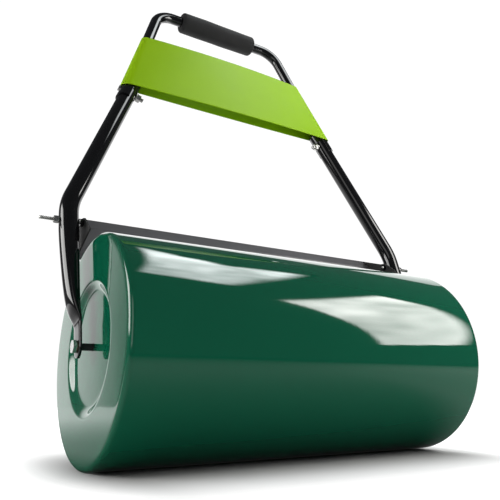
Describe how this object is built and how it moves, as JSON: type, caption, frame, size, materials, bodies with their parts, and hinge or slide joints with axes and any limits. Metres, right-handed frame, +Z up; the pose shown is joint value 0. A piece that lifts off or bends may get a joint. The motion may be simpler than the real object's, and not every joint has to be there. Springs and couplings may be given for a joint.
{
  "type": "lawn roller",
  "caption": "Push lawn roller with a water-fillable steel drum, leaning tube handle with foam grip, display sleeve and rear scraper bar.",
  "frame": {"origin": "on the ground, straight under the middle of the drum's axle", "axes": "+X along the axle towards the filler end, +Z up, +Y back, the way the handle leans"},
  "size_m": [0.76, 0.4211, 0.9083],
  "materials": {
    "green_paint": "gloss",
    "black_paint": "gloss",
    "zinc": "satin",
    "bare_steel": "satin",
    "bronze": "satin",
    "foam": "matte",
    "lime_film": "gloss",
    "black_plastic": "matte",
    "black_rubber": "matte"
  },
  "bodies": {
    "handle_frame": {"lower_tube_left": "black_paint", "lower_tube_right": "black_paint", "pivot_collars": "bronze", "upper_handle": "black_paint", "foam_grip": "foam", "display_sleeve": "lime_film", "joint_bolts": "zinc", "joint_washers": "zinc", "joint_nuts": "zinc"},
    "drum": {"drum_shell": "green_paint", "drum_end_left": "green_paint", "drum_end_right": "green_paint", "drum_axle_tube": "bare_steel", "hub_inserts": "bare_steel", "axle_bolt_left": "zinc", "axle_bolt_right": "zinc", "axle_washers": "zinc", "filler_neck": "bare_steel"},
    "plug_seal": {"plug_gasket": "black_rubber"},
    "plug": {"filler_plug": "black_plastic"},
    "scraper": {"scraper_blade": "black_paint", "scraper_stud_left": "zinc", "scraper_stud_right": "zinc", "scraper_inner_nuts": "black_paint", "scraper_jam_nuts": "black_paint", "scraper_outer_washers": "zinc", "scraper_outer_nuts": "zinc"}
  },
  "joints": [
    {"name": "drum_spin", "type": "hinge", "parent": "handle_frame", "child": "drum", "pos_m": [0, 0, 0.16], "axis": [1, 0, 0], "continuous": true},
    {"name": "scraper_tilt", "type": "hinge", "parent": "handle_frame", "child": "scraper", "pos_m": [0, 0.06247, 0.35], "axis": [1, 0, 0], "range_deg": [-1.5, 25]},
    {"name": "plug_lift", "type": "slide", "parent": "drum", "child": "plug_seal", "axis": [1, 0, 0], "range_m": [0, 0.0055]},
    {"name": "plug_turn", "type": "hinge", "parent": "plug_seal", "child": "plug", "pos_m": [0.304, -0.02451, 0.11189], "axis": [1, 0, 0], "range_deg": [0, 720]}
  ],
  "couplings": [
    {"joint": "plug_lift", "follows": "plug_turn", "m_per_rad": 0.00043767}
  ]
}
